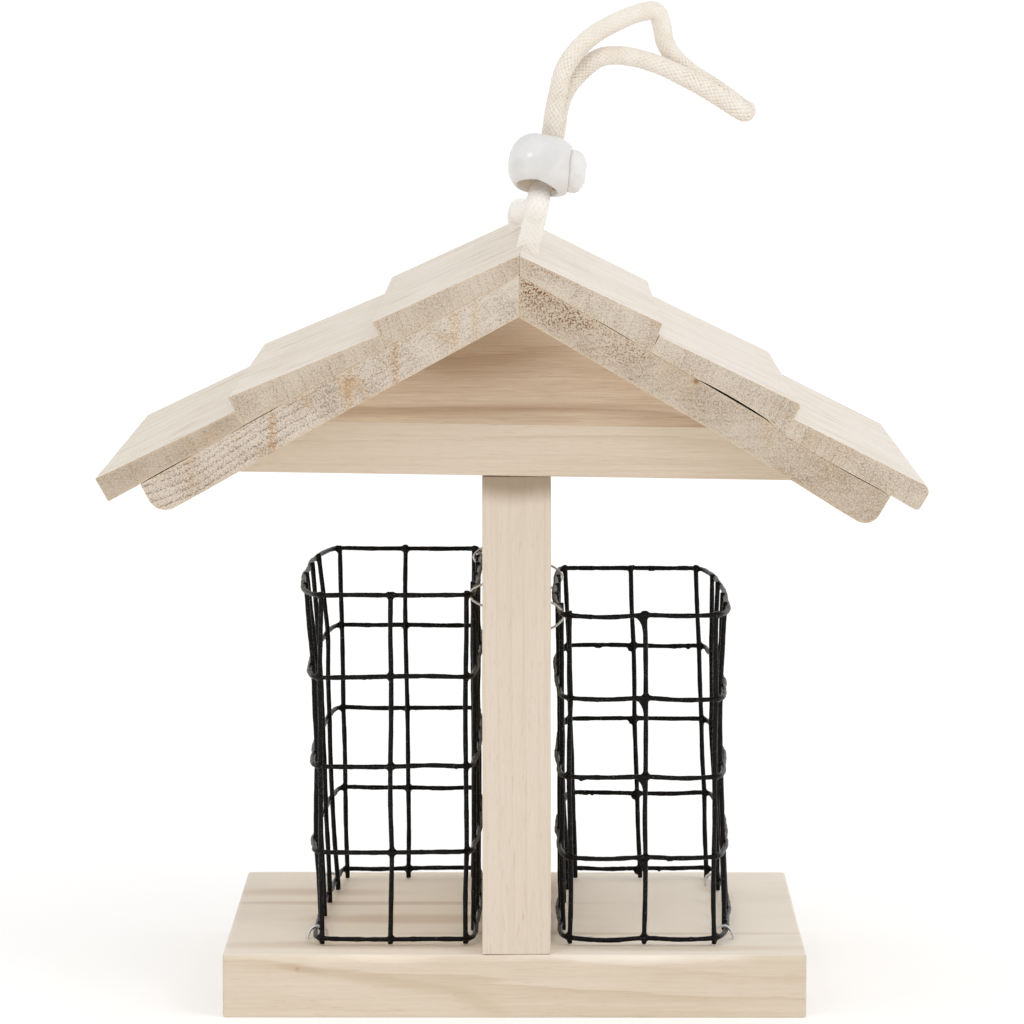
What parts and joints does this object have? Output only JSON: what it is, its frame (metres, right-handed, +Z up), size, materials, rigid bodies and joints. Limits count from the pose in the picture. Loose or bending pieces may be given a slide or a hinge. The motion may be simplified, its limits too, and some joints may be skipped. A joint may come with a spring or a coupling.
{
  "type": "hanging bird feeder",
  "caption": "Gabled wooden bird feeder with open wire food cages beside a centre board, hung by a braided cord loop with a sliding push-button cord lock.",
  "frame": {"origin": "centre of the base board's underside", "axes": "+X to the right seen from the front gable, +Y towards the back, +Z up"},
  "size_m": [0.19, 0.169, 0.2387],
  "materials": {
    "pine": "planed, unfinished",
    "tan_pine": "planed, unfinished",
    "shingle_pine": "sawn, unfinished",
    "cage_coating": "satin plastic coating",
    "bright_steel": "galvanised",
    "cotton_cord": "round braid",
    "white_plastic": "gloss"
  },
  "bodies": {
    "feeder": {"base_board": "pine", "divider_board": "pine", "gable_front_lower": "pine", "gable_back_lower": "pine", "roof_deck_left": "pine", "roof_deck_right": "pine", "gable_front_upper": "tan_pine", "gable_back_upper": "tan_pine", "shingle_left_ridge": "shingle_pine", "shingle_left_middle": "shingle_pine", "shingle_left_eave": "shingle_pine", "shingle_right_ridge": "shingle_pine", "shingle_right_middle": "shingle_pine", "shingle_right_eave": "shingle_pine", "cage_left": "cage_coating", "cage_right": "cage_coating", "base_staple_left_front": "bright_steel", "base_staple_left_back": "bright_steel", "base_staple_right_front": "bright_steel", "base_staple_right_back": "bright_steel", "divider_staple_left_front": "bright_steel", "divider_staple_left_back": "bright_steel", "divider_staple_right_front": "bright_steel", "divider_staple_right_back": "bright_steel", "divider_screw_front": "bright_steel", "divider_screw_back": "bright_steel", "cord_leg_front": "cotton_cord", "cord_leg_back": "cotton_cord"},
    "lock": {"lock_body": "white_plastic", "lock_spring": "bright_steel"},
    "button": {"lock_button": "white_plastic"},
    "loop": {"cord_loop": "cotton_cord"}
  },
  "joints": [
    {"name": "lock_slide", "type": "slide", "parent": "feeder", "child": "lock", "axis": [0.1884, 0.4226, 0.8865], "range_m": [0, 0.006]},
    {"name": "button_press", "type": "slide", "parent": "lock", "child": "button", "axis": [-0.9781, 0, 0.2079], "range_m": [0, 0.0018], "stiffness_N_per_m": 900, "springref_m": -0.002, "deforming": ["lock_spring"]},
    {"name": "loop_swing", "type": "hinge", "parent": "feeder", "child": "loop", "pos_m": [0.00939, -0.03818, 0.2167], "axis": [0, 1, 0], "range_deg": [-60, 20]}
  ]
}
